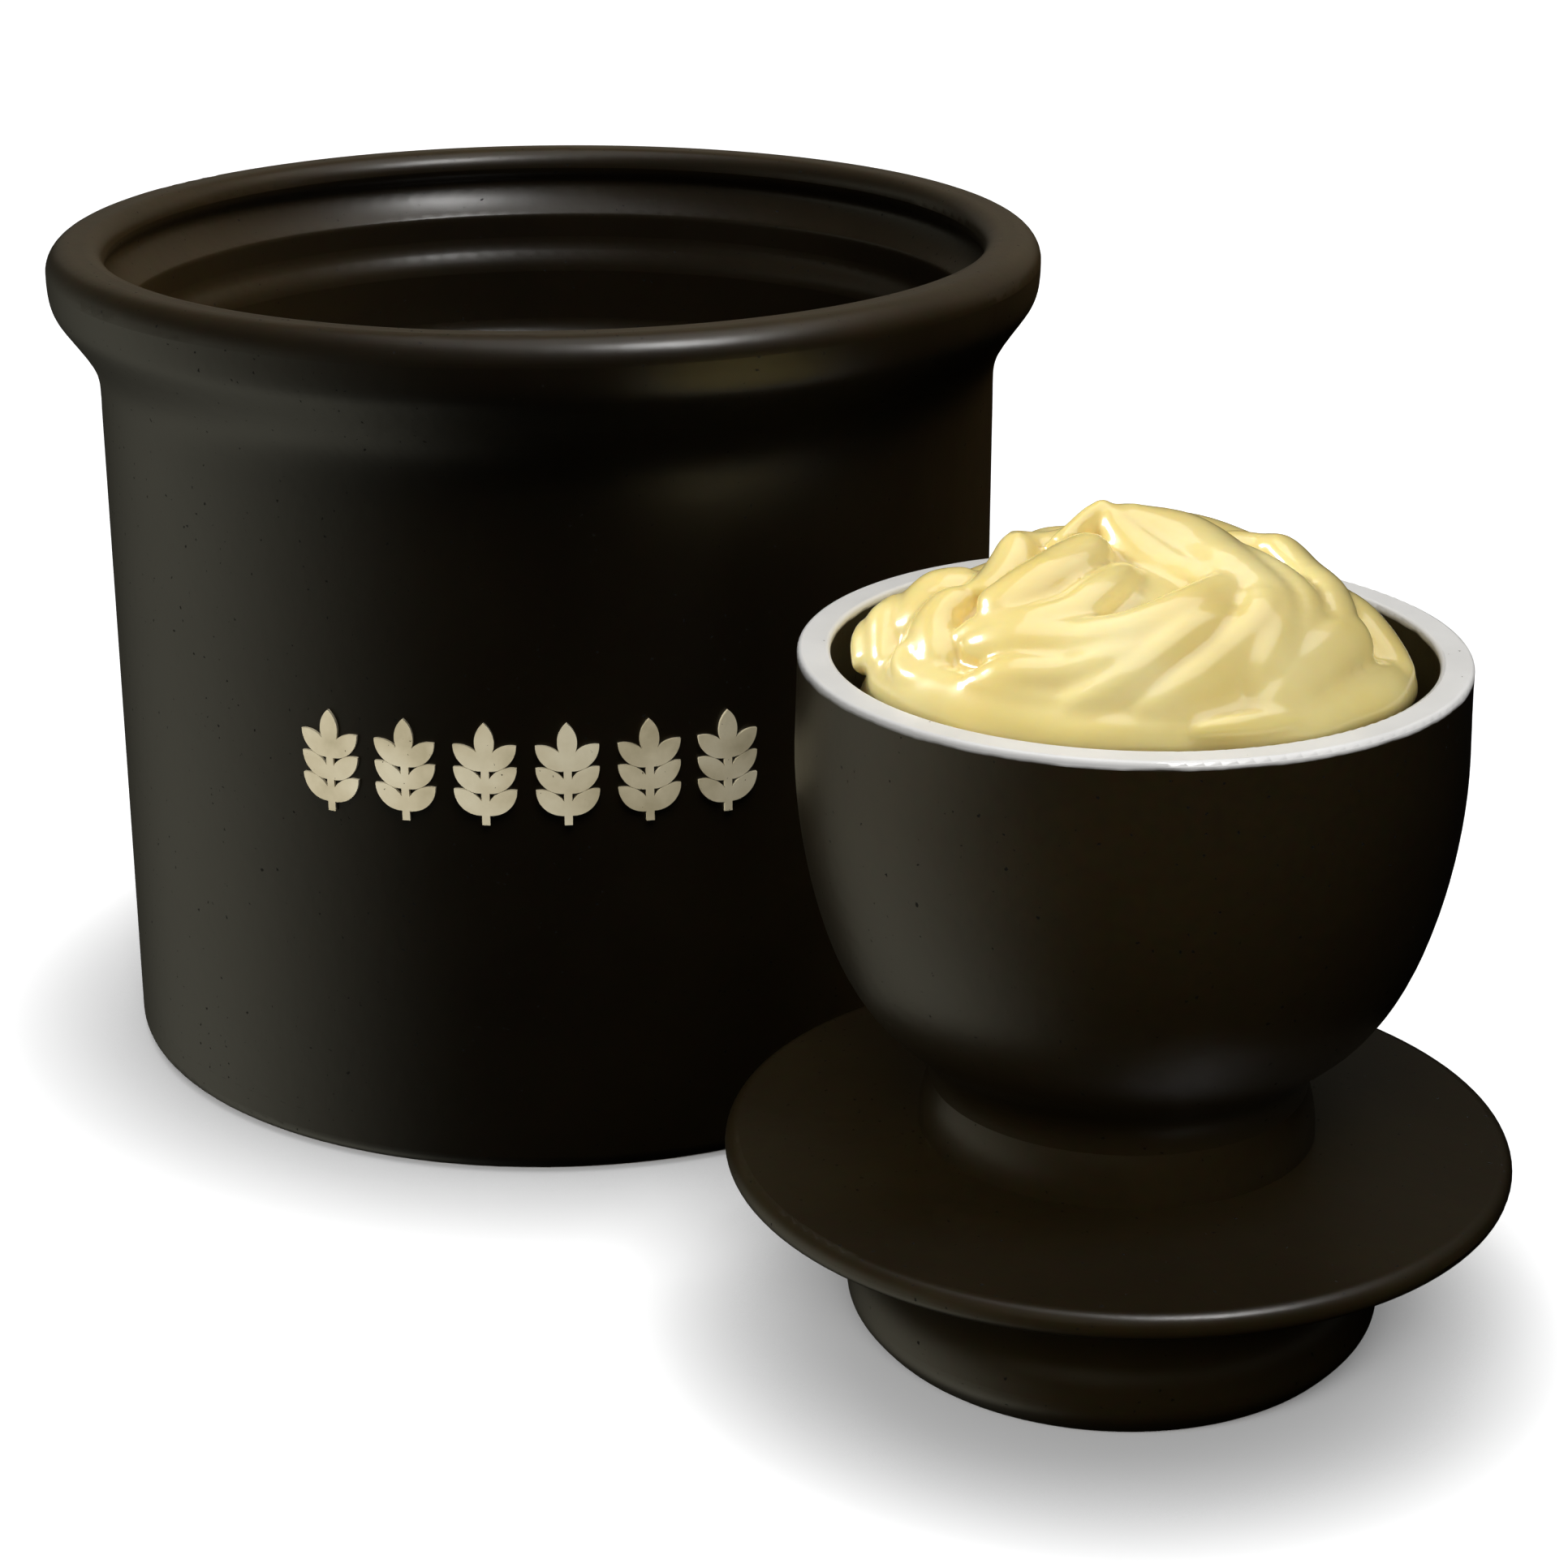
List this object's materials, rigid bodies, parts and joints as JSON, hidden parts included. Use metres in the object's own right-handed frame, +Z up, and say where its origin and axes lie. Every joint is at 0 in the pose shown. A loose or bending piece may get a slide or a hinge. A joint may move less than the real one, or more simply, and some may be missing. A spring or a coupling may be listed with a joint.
{
  "type": "butter crock",
  "caption": "Round stoneware butter crock with a rolled lip, and its knobbed lid stood upside down beside it with a bell-shaped cup full of butter.",
  "frame": {"origin": "centre of the crock's flat base, on the surface it stands on", "axes": "+Z up along the crock's axis; -Y towards the decorated front; the lid stands towards +X and -Y"},
  "size_m": [0.1625, 0.1862, 0.0988],
  "materials": {
    "dark_glaze": "satin",
    "cream_slip": "satin",
    "white_glaze": "gloss",
    "butter": "gloss"
  },
  "bodies": {
    "crock": {"crock_floor": "dark_glaze", "crock_wall": "dark_glaze", "crock_rim": "dark_glaze", "seat_ledge": "dark_glaze", "crock_emblem": "cream_slip"},
    "lid": {"lid_knob": "dark_glaze", "lid_saucer": "dark_glaze", "neck_collar": "dark_glaze", "butter_cup": "dark_glaze", "cup_lip_glaze": "white_glaze", "butter": "butter"}
  },
  "joints": [
    {"name": "lid_lift", "type": "slide", "parent": "crock", "child": "lid", "axis": [0, 0, 1], "range_m": [0, 0.105]}
  ]
}
